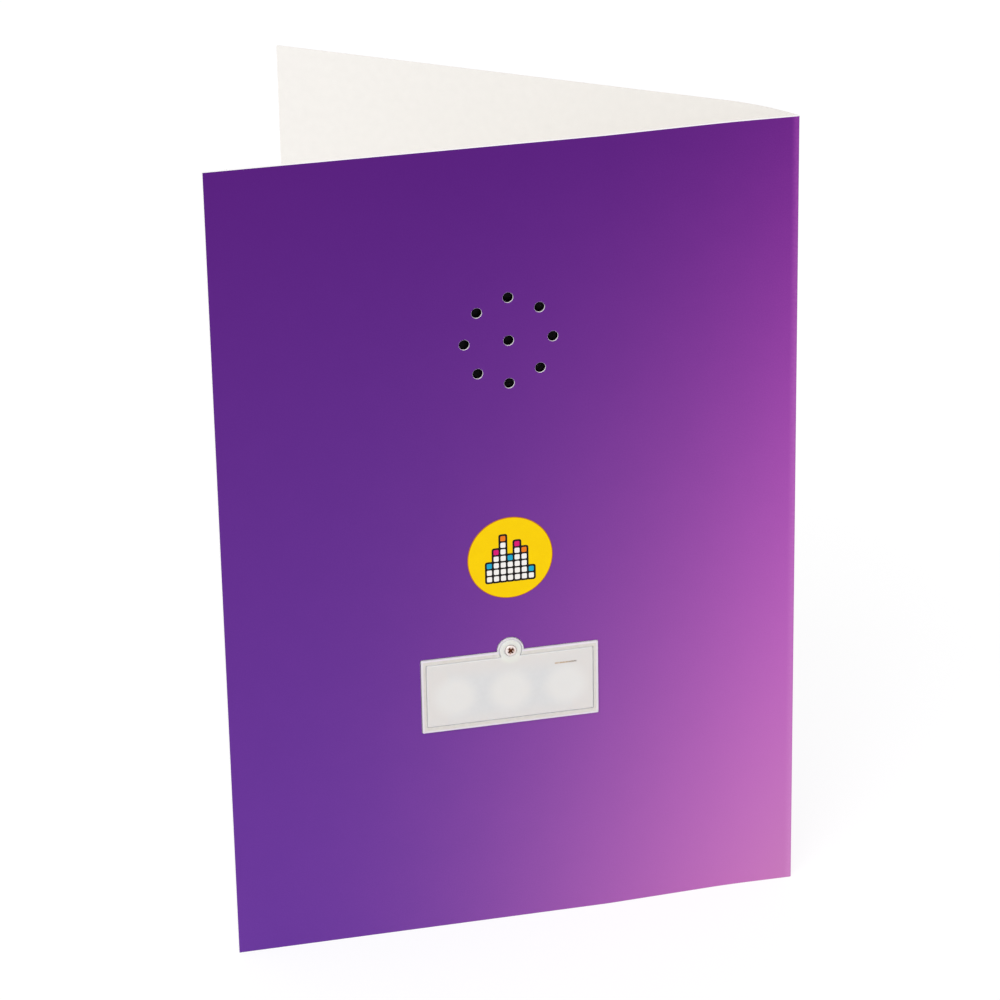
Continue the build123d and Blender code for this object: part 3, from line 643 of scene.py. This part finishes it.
def card_sheet():
    """The whole card as one folded sheet: print outside, white inside, bare board at the cuts."""
    surfaces = [
        print_surface(),
        paper_surface("card_inside", *paper_inside),
        paper_surface("card_cut", *paper_cut),
    ]
    made = Builder("card_sheet", surfaces)
    columns = [-across_of(run) for run in reversed(front.stations())]
    columns += [-arc_column, 0.0, arc_column]
    columns += [across_of(run) for run in back.stations()]
    main_run = back.runs[-1]
    main_end = back.line[-1].x
    cuts = []
    for loop in outlines("back_board"):
        flat = [Vector((across_of(main_run - (p.x - main_end)), p.y)) for p in loop]
        if max(p.x for p in flat) - min(p.x for p in flat) < leaf_width / 2:
            cuts.append(flat)

    def ring(lift, inset):
        """The sheet's edge, as a closed row of point numbers."""
        ends = [columns[0] + inset] + columns[1:-1] + [columns[-1] - inset]
        low, high = inset, card_height - inset
        flats = [Vector((a, low)) for a in ends] + [Vector((a, high)) for a in reversed(ends)]
        return flats, [made.point(on_card(f.x, f.y, lift), f) for f in flats]

    def face(lift, inset, hole_growth, kind):
        """One face of the sheet with its holes, and the rows of points round its edges."""
        flats, numbers = ring(lift, inset)
        count = len(columns)
        rows = [numbers]
        edges = [(i, (i + 1) % (2 * count)) for i in range(2 * count)]
        edges += [(i, 2 * count - 1 - i) for i in range(1, count - 1)]
        if lift == 0:
            first_column = across_of(first_inner_run) - WELD
            seam = [i for i, a in enumerate(columns) if 0 < abs(a) < first_column]
            edges = [e for e in edges if e[0] not in seam or sum(e) != 2 * count - 1]
        holes = [grown(loop, hole_growth) if hole_growth else loop for loop in cuts]
        for moved in holes:
            start = len(flats)
            flats = flats + moved
            row = [made.point(on_card(f.x, f.y, lift), f) for f in moved]
            numbers = numbers + row
            rows.append(row)
            edges += [(start + i, start + (i + 1) % len(moved)) for i in range(len(moved))]
        places, faces, origins = triangles(flats, edges)
        for corners in faces:
            centre = sum((places[c] for c in corners), Vector((0, 0))) / 3
            if not any(inside(centre, loop) for loop in holes):
                made.face([numbers[origins[c][0]] for c in corners], kind)
        return rows

    outer = face(board, edge_bevel, hole_bevel, 0)
    inner = face(0.0, 0.0, 0.0, 1)
    below = [ring(board - edge_bevel, 0.0)[1]]
    for loop in cuts:
        below.append([made.point(on_card(f.x, f.y, board - hole_bevel), f) for f in loop])
    for top, shoulder, foot in zip(outer, below, inner):
        made.band(top, shoulder, 2)
        made.band(shoulder, foot, 2)
    sheet = made.build()
    way = Vector((-bisector.y, bisector.x))
    if way.dot(front.ways[0]) < 0:
        way = -way
    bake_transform(sheet)
    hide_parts("back_board", "front_board", "spine_crease")


# Round label

def rounded(x, z, width, height, corner):
    """A rectangle with rounded corners, from its lower left corner."""
    found = []
    for cx, cz, start in (
        (x + width - corner, z + height - corner, 0),
        (x + corner, z + height - corner, 90),
        (x + corner, z + corner, 180),
        (x + width - corner, z + corner, 270),
    ):
        for k in range(corner_steps + 1):
            angle = math.radians(start + 90 * k / corner_steps)
            found.append(Vector((cx + corner * math.cos(angle), cz + corner * math.sin(angle))))
    return found


def label_surface(name, colour, darker, rough=label_rough):
    made = grained(name, darker, colour, rough, label_grain, label_relief, "UV")
    made.shader.inputs["Specular IOR Level"].default_value = label_shine
    return made.material


def round_label():
    """The round label on the back leaf, with a plain row of sound-level bars printed on it."""
    surfaces = [
        label_surface("label_ground", (255, 214, 0), (250, 207, 0)),
        label_surface("label_black", (30, 26, 26), (20, 17, 18)),
        label_surface("label_white", (252, 250, 246), (244, 241, 236)),
        label_surface("label_blue", (38, 176, 214), (28, 164, 204)),
        label_surface("label_pink", (228, 32, 122), (218, 24, 112)),
        label_surface("label_orange", (246, 132, 36), (238, 120, 28)),
        # Painted shade: a darker orange ring round the rim, which also colours the bevel, side and
        # back
        label_surface("label_edge_shade", (206, 128, 30), (188, 104, 24), label_edge_rough),
    ]
    made = Builder("sound_label", surfaces)
    low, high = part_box("round_label")
    centre = (low + high) / 2
    radius = (high.x - low.x) / 2

    def at(flat, depth):
        return made.point(Vector((centre.x + flat.x, depth, centre.z + flat.y)), flat)

    def circle(r):
        turn = [2 * math.pi * k / label_points for k in range(label_points)]
        return [Vector((r * math.cos(t), r * math.sin(t))) for t in turn]

    blocks, backings = [], []
    for i, count in enumerate(bar_segments):
        x = (i - (len(bar_segments) - 1) / 2) * bar_pitch - bar_width / 2
        for k in range(count):
            z = bars_low + k * (segment_height + segment_gap)
            kind = 3 + i % 3 if k == count - 1 else 2
            blocks.append((rounded(x, z, bar_width, segment_height, segment_corner), kind))
        tall = count * (segment_height + segment_gap) - segment_gap + 2 * outline_width
        wide = bar_width + 2 * outline_width
        backing = rounded(x - outline_width, bars_low - outline_width, wide, tall, outline_corner)
        backings.append(backing)
    flats = circle(radius - label_shade_ring_width)
    edges = [(i, (i + 1) % label_points) for i in range(label_points)]
    for loop in [block[0] for block in blocks] + backings:
        start = len(flats)
        flats += loop
        edges += [(start + i, start + (i + 1) % len(loop)) for i in range(len(loop))]
    places, faces, origins = triangles(flats, edges)
    numbers = [at(p, low.y) for p in places]
    for corners in faces:
        middle_point = sum((places[c] for c in corners), Vector((0, 0))) / 3
        kinds = [kind for loop, kind in blocks if inside(middle_point, loop)]
        kinds += [1 for loop in backings if inside(middle_point, loop)]
        made.face([numbers[c] for c in corners], kinds[0] if kinds else 0)
    where = {o: numbers[i] for i, found in enumerate(origins) for o in found}
    rim = [where[i] for i in range(label_points)]
    top = [at(p, low.y) for p in circle(radius - label_bevel)]
    shoulder = [at(p, low.y + label_bevel) for p in circle(radius)]
    foot = [at(p, high.y) for p in circle(radius)]
    made.band(top, rim, 6)
    made.band(shoulder, top, 6)
    made.band(foot, shoulder, 6)
    made.face(foot[::-1], 6)
    label = made.build()
    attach(label, "back_leaf")
    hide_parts("round_label")


# Tongue strap

def tongue_strap():
    """The film strap that pulls the tongue: along the back leaf, round the fold, and glued on."""
    slider_low, slider_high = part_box("tongue_slider")
    level = (slider_low.y + slider_high.y) / 2
    film = slider_high.y - slider_low.y
    along = front.ways[0]
    glued = strap_glue + film / 2
    rail = fold - front_out * glued
    corner = rail + along * ((level - rail.y) / along.y)
    start = Vector((fold.x - strap_start_run, level))
    first = (start - corner).normalized()
    second = along
    tangent = strap_bend_radius / math.tan(first.angle(second) / 2)
    arc_start, arc_end = corner + first * tangent, corner + second * tangent
    away = (first + second).normalized()
    centre = corner + away * math.hypot(tangent, strap_bend_radius)
    line = [start, arc_start + first * support_run]
    spoke = arc_start - centre
    turn = spoke.angle_signed(arc_end - centre)
    for k in range(strap_arc_steps + 1):
        arm = spoke.copy()
        arm.rotate(Matrix.Rotation(-turn * k / strap_arc_steps, 2))
        line.append(centre + arm)
    bend_run = (arc_end - rail).dot(along)
    for k in range(1, strap_steps + 1):
        point, out = front.at(bend_run + (strap_end_run - bend_run) * k / strap_steps)
        line.append(point - out * glued)
    surface = grained("strap_film", *strap_white, strap_rough, strap_grain, strap_relief, "UV")
    made = Builder("strap", [surface.material])
    rows = []
    run = 0.0
    for i, point in enumerate(line):
        before, after = line[max(i - 1, 0)], line[min(i + 1, len(line) - 1)]
        way = (after - before).normalized()
        side = Vector((-way.y, way.x)) * (strap_thickness / 2)
        run += (point - line[i - 1]).length if i else 0.0
        low, high = slider_low.z, slider_high.z
        corners = [(side, low), (side, high), (-side, high), (-side, low)]
        rows.append([made.point(Vector((*(point + s), z)), (run, z)) for s, z in corners])
    for first_row, second_row in zip(rows, rows[1:]):
        made.band(first_row, second_row, 0)
    made.face(rows[0][::-1], 0)
    made.face(rows[-1], 0)
    strap = made.build()
    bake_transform(strap)
    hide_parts("tongue_strap", "tongue_anchor")


# Finishes of the pieces that keep their own shape

def milky(name, colour_of):
    """Milky plastic that lets a little light through, with a fine moulded grain."""
    made = Surface(
        name, Transmission_Weight=0.08, IOR=1.49, Subsurface_Weight=0.7, Subsurface_Scale=glow_depth
    )
    made.shader.inputs["Subsurface Radius"].default_value = glow_shares
    place = made.place()
    cloud = made.noise(milky_grain, place)
    made.into(colour_of(made, place, cloud), "Base Color")
    made.into(made.spread(cloud, *milky_rough), "Roughness")
    made.bump(cloud, milky_relief)
    return made.material


def middle_of(node):
    low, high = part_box(node)
    return (low + high) / 2


def tab_light_share(made, place):
    """Share of painted light on the tab round the screw: 1 on the tab, where nothing dark lies
    behind the plastic, and 0 past it.
    """
    radius = made.radius(place, middle_of("cover_screw"))
    return made.span(radius, *tab_light_fade, smooth=True)


def rim_colour(made, place, cloud):
    """Dull, with painted light on the tab and on the walls of the cover's gap, a painted highlight
    along the outer edge, and painted shade in the gap between box and card.
    """
    low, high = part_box("battery_cover")
    centre = (low + high) / 2
    half_width = (high.x - low.x) / 2 + rim_side_band
    rim_middle = low.z - rim_foot_band + rim_height / 2
    across, depth, height = made.parts(place)
    side = made.maths("SUBTRACT", made.off(across, centre.x), half_width)
    top = made.maths("SUBTRACT", made.off(height, rim_middle), rim_height / 2)
    tab = made.maths("SUBTRACT", made.radius(place, middle_of("cover_screw")), tab_radius)
    out = made.maths("MINIMUM", made.maths("MAXIMUM", side, top), tab)
    # Painted highlight along the rim's outer edge
    edge_highlight = made.span(out, -rim_highlight_line[0], -rim_highlight_line[1], smooth=True)
    # Painted shade in the gap between box and card
    gap_shade = made.behind(depth, back_low.y, card_gap_shade_depth)
    gap_shade = made.maths("MULTIPLY", gap_shade, made.span(out, -card_gap_shade_width[0], -card_gap_shade_width[1]))
    # Painted light on the tab round the screw
    colour = made.mix(tab_light_share(made, place), made.tint(cloud, *rim_dull), tone(tab_light))
    colour = made.mix(edge_highlight, colour, tone(rim_highlight))
    # Painted light on the walls of the gap round the cover
    lit_walls = made.behind(depth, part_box("battery_box")[0].y, wall_light_start)
    return made.mix(gap_shade, made.mix(lit_walls, colour, tone(wall_light)), tone(card_gap_shade))


def cover_colour(made, place, cloud):
    """Painted light over the three cells, standing in for their shine through it, with a brown line
    where a contact rubs.
    """
    across, depth, height = made.parts(place)
    glow = 0.0
    # Painted light over each cell, standing in for its shine through the plastic
    for k in (1, 2, 3):
        away = made.radius(place, middle_of("button_cell_%d" % k))
        glow = made.maths("MAXIMUM", glow, made.span(away, *cell_light_radii, smooth=True))
    row = middle_of("button_cell_2")
    side = made.span(made.off(height, row.z), *cell_row_side, smooth=True)
    end = made.span(made.off(across, row.x), *cell_row_end, smooth=True)
    outer = made.maths("MAXIMUM", side, end)
    colour = made.mix(outer, made.tint(cloud, *cover_grey), tone(cover_warm))
    colour = made.mix(glow, colour, tone(cover_cell_light))
    # Painted light on the tab round the screw
    colour = made.mix(tab_light_share(made, place), colour, tone(tab_light))
    low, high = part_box("positive_contact")
    half = (high.x - low.x) / 2
    along = made.span(made.off(across, (low.x + high.x) / 2), half, half - rub_fade)
    away = made.off(height, low.z + rub_above_contact)
    line = made.span(away, rub_half_height, rub_half_height / 3)
    faded = made.span(made.noise(rub_grain, place), *rub_patches)
    rub = made.maths("MULTIPLY", made.maths("MULTIPLY", along, line), faded)
    darker = made.span(across, (low.x + high.x) / 2, high.x)
    brown = made.mix(darker, tone(rub_light), tone(rub_dark))
    # Painted light on the walls of the gap round the cover
    lit_walls = made.behind(depth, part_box("battery_cover")[0].y, wall_light_start)
    return made.mix(lit_walls, made.mix(rub, colour, brown), tone(wall_light))


def steel(name, dark, light, rough, grain):
    return grained(name, dark, light, rough, grain, metal_relief, Metallic=1.0).material


def turned_metal(name, dark, light, centre, rough):
    """Metal with fine turning marks round a centre."""
    made = Surface(name, Metallic=1.0)
    place = made.place()
    radius = made.radius(place, centre)
    rings = made.maths("SINE", made.maths("MULTIPLY", radius, 2 * math.pi / turning_pitch))
    cloud = made.noise(turning_grain, place)
    wander = made.maths("MULTIPLY_ADD", rings, turning_share, cloud)
    stops = dict(zip(turning_colours, (tone(dark), tone(light))))
    made.into(made.ramp(wander, stops), "Base Color")
    made.into(made.span(wander, *turning_roughs, *rough), "Roughness")
    made.bump(rings, turning_relief)
    return made.material


def screw_surface():
    """Nickelled steel, with a dark brown driver recess, partly its own brown and partly painted
    shade, and a brown stain round it.
    """
    made = Surface("screw_head", Metallic=1.0)
    place = made.place()
    depth = made.parts(place)[1]
    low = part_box("cover_screw")[0]
    cloud = made.noise(screw_grain, place)
    colour = made.tint(cloud, *screw_nickel)
    radius = made.radius(place, middle_of("cover_screw"))
    stain = made.span(radius, stain_radius, 0.8 * stain_radius)
    patches = made.span(made.noise(stain_grain, place), *stain_patches)
    colour = made.mix(made.maths("MULTIPLY", stain, patches), colour, tone(stain_brown))
    # Painted shade in the driver recess over its own brown, fading below the recess's floor
    start = made.behind(depth, low.y, recess_start)
    end = made.behind(depth, low.y, recess_end)
    deep = made.maths("MULTIPLY", start, end)
    shade = made.maths("MULTIPLY", deep, made.span(radius, 1.1 * stain_radius, stain_radius))
    colour = made.mix(shade, colour, tone(recess_brown_shade))
    made.into(colour, "Base Color")
    made.into(made.maths("MULTIPLY_ADD", shade, recess_rougher, screw_rough), "Roughness")
    made.bump(cloud, metal_relief)
    return made.material


def circuit_surface():
    """Green solder mask with fine straight tracks under it."""
    made = Surface("circuit_mask", Coat_Weight=0.3)
    place = made.place()
    across, _, height = made.parts(place)
    rows = made.maths("SINE", made.maths("MULTIPLY", height, 2 * math.pi / track_pitch))
    blocks = made.noise(track_block, place, 0.0)
    lines, patches = made.span(rows, *track_edge), made.span(blocks, *track_patches)
    lanes = made.maths("MULTIPLY", lines, patches)
    cloud = made.noise(mask_grain, place)
    made.into(made.mix(lanes, made.tint(cloud, *mask_green), tone(track_green)), "Base Color")
    made.into(made.spread(cloud, *mask_rough), "Roughness")
    made.bump(lanes, track_relief)
    return made.material


def wound_surface():
    """Lacquered copper wire wound side by side along the coil."""
    made = Surface("coil_wire", Metallic=1.0, Coat_Weight=0.4)
    place = made.place()
    depth = made.parts(place)[1]
    turns = made.maths("SINE", made.maths("MULTIPLY", depth, 2 * math.pi / wire_pitch))
    wire = dict(zip((0.0, 1.0), map(tone, wire_copper)))
    made.into(made.ramp(made.span(turns, -1, 1), wire), "Base Color")
    made.into(made.spread(made.noise(wire_grain, place), *wire_rough), "Roughness")
    made.bump(turns, wire_relief)
    return made.material


def finishes():
    """The finish of each of the record's material slots."""
    # Rows: darker and lighter colour, roughness, then grain and relief in millimetres
    plain = {
        "white_card": ((243, 241, 235), (247, 245, 240), (0.6, 0.7), 0.3, 0.006),
        "chip_black": ((22, 22, 24), (36, 36, 38), (0.35, 0.5), 0.4, 0.01),
        "felt_black": ((16, 16, 17), (34, 33, 34), (0.9, 1.0), 0.2, 0.12),
        "lamp_red": ((176, 22, 20), (196, 34, 28), (0.12, 0.2), 1.5, 0.002),
        "button_red": ((190, 22, 26), (206, 32, 34), (0.28, 0.4), 0.5, 0.01),
        "tongue_film": ((232, 233, 231), (240, 241, 239), (0.3, 0.4), 1.6, 0.002),
        "foam_tape": ((226, 222, 210), (244, 241, 232), (0.8, 0.95), 0.3, 0.05),
        "thin_tape": ((214, 208, 190), (228, 223, 208), (0.35, 0.5), 0.8, 0.004),
        "cone_film": ((3, 3, 4), (7, 7, 8), (0.45, 0.6), 1.2, 0.01),
        "terminal_board": ((148, 108, 62), (170, 128, 78), (0.55, 0.7), 0.3, 0.02),
        "insulation_red": ((176, 24, 24), (194, 36, 34), (0.35, 0.45), 0.6, 0.004),
        "insulation_black": ((20, 20, 21), (34, 34, 35), (0.35, 0.45), 0.6, 0.004),
    }
    shaders = {
        "lamp_red": {"Transmission_Weight": 0.5},
        "cone_film": {"Specular_IOR_Level": 0.06},
    }
    # Rows: darker and lighter colour, roughness, then grain in millimetres
    metal = {
        "contact_metal": ((172, 150, 126), (214, 196, 174), (0.25, 0.4), 0.5),
        "component_metal": ((168, 168, 166), (206, 206, 204), (0.3, 0.45), 0.4),
        "speaker_steel": ((132, 134, 138), (172, 174, 178), (0.35, 0.5), 0.6),
        "solder": ((170, 172, 176), (212, 214, 218), (0.25, 0.4), 0.3),
    }
    found = {}
    for name, (dark, light, rough, grain, bump) in plain.items():
        more = shaders.get(name, {})
        made = grained(name + "_look", dark, light, rough, grain * MM, bump * MM, **more)
        found[name] = made.material
    for name, (dark, light, rough, grain) in metal.items():
        found[name] = steel(name + "_look", dark, light, rough, grain * MM)
    found["milky_plastic"] = milky("milky_rim", rim_colour)
    found["cover_plastic"] = milky("milky_cover", cover_colour)
    found["screw_steel"] = screw_surface()
    found["cell_steel"] = turned_metal(
        "cell_case", (190, 190, 190), (224, 223, 221), middle_of("button_cell_2"), (0.2, 0.34)
    )
    found["magnet_nickel"] = turned_metal(
        "magnet_plating", (176, 174, 168), (208, 206, 200), middle_of("speaker_yoke"), (0.2, 0.3)
    )
    found["circuit_green"] = circuit_surface()
    found["coil_copper"] = wound_surface()
    return found


def dress_nodes():
    """Gives every CAD node the finish of its slot in the record."""
    looks = finishes()
    for part in frame["record"]["subparts"]:
        slots = frame["nodes"][part["node"]].material_slots
        if part["material_slot"] in looks:
            for item in slots:
                item.material = looks[part["material_slot"]]


# Stage

def camera():
    """The photograph's camera."""
    a, e = math.radians(view_azimuth), math.radians(view_elevation)
    out = Vector((math.sin(a) * math.cos(e), -math.cos(a) * math.cos(e), math.sin(e)))
    right = Vector((0, 0, 1)).cross(out).normalized()
    turn = Matrix.Rotation(math.radians(view_roll), 3, out)
    right = turn @ right
    up = out.cross(right)
    data = bpy.data.cameras.new("camera")
    data.lens = view_lens
    data.sensor_width = sensor_width
    made = bpy.data.objects.new("camera", data)
    rows = Matrix((right, up, out)).transposed().to_4x4()
    rows.translation = view_target + out * view_distance
    made.matrix_world = rows
    bpy.context.scene.collection.objects.link(made)
    bpy.context.scene.camera = made


def seen_straight(tree):
    """1 for rays from the camera or off gloss and glass, else 0."""
    path = tree.nodes.new("ShaderNodeLightPath")
    value = path.outputs["Is Camera Ray"]
    for name in ("Is Glossy Ray", "Is Transmission Ray"):
        both = tree.nodes.new("ShaderNodeMath")
        both.operation = "MAXIMUM"
        tree.links.new(value, both.inputs[0])
        tree.links.new(path.outputs[name], both.inputs[1])
        value = both.outputs[0]
    return value


def world():
    made = bpy.data.worlds.new("studio")
    made.use_nodes = True
    tree = made.node_tree
    plain = tree.nodes["Background"]
    plain.inputs["Color"].default_value = (1, 1, 1, 1)
    plain.inputs["Strength"].default_value = world_light
    white = tree.nodes.new("ShaderNodeBackground")
    white.inputs["Color"].default_value = (1, 1, 1, 1)
    mix = tree.nodes.new("ShaderNodeMixShader")
    tree.links.new(seen_straight(tree), mix.inputs[0])
    tree.links.new(plain.outputs[0], mix.inputs[1])
    tree.links.new(white.outputs[0], mix.inputs[2])
    tree.links.new(mix.outputs[0], tree.nodes["World Output"].inputs["Surface"])
    bpy.context.scene.world = made


def floor():
    """A pale floor that looks white and keeps a soft share of the card's shadow."""
    half = floor_size / 2
    mesh = bpy.data.meshes.new("floor")
    corners = [(-half, -half, 0), (half, -half, 0), (half, half, 0), (-half, half, 0)]
    mesh.from_pydata(corners, [], [(0, 1, 2, 3)])
    made = bpy.data.objects.new("floor", mesh)
    bpy.context.scene.collection.objects.link(made)
    paint = bpy.data.materials.new("floor_paint")
    paint.use_nodes = True
    tree = paint.node_tree
    shader = tree.nodes["Principled BSDF"]
    shader.inputs["Base Color"].default_value = (floor_grey, floor_grey, floor_grey, 1)
    shader.inputs["Roughness"].default_value = 1.0
    shader.inputs["Specular IOR Level"].default_value = 0.0
    glow = tree.nodes.new("ShaderNodeEmission")
    glow.inputs["Color"].default_value = (1, 1, 1, 1)
    glow.inputs["Strength"].default_value = floor_glow
    share = tree.nodes.new("ShaderNodeMath")
    share.operation = "MULTIPLY"
    share.inputs[1].default_value = 1 - floor_share
    tree.links.new(seen_straight(tree), share.inputs[0])
    mix = tree.nodes.new("ShaderNodeMixShader")
    tree.links.new(share.outputs[0], mix.inputs[0])
    tree.links.new(shader.outputs[0], mix.inputs[1])
    tree.links.new(glow.outputs[0], mix.inputs[2])
    tree.links.new(mix.outputs[0], tree.nodes["Material Output"].inputs["Surface"])
    mesh.materials.append(paint)


def key_light():
    """One broad lamp above and to the left of the camera."""
    data = bpy.data.lights.new("key", "SUN")
    data.energy = key_strength
    data.angle = math.radians(key_spread)
    made = bpy.data.objects.new("key", data)
    elevation, azimuth = (math.radians(v) for v in key_direction)
    out = Vector((
        math.sin(azimuth) * math.cos(elevation),
        -math.cos(azimuth) * math.cos(elevation),
        math.sin(elevation),
    ))
    made.rotation_mode = "QUATERNION"
    made.rotation_quaternion = out.to_track_quat("Z", "Y")
    bpy.context.scene.collection.objects.link(made)


camera()
dress_nodes()
card_sheet()
round_label()
tongue_strap()
world()
floor()
key_light()
bpy.context.scene.view_settings.view_transform = "Standard"
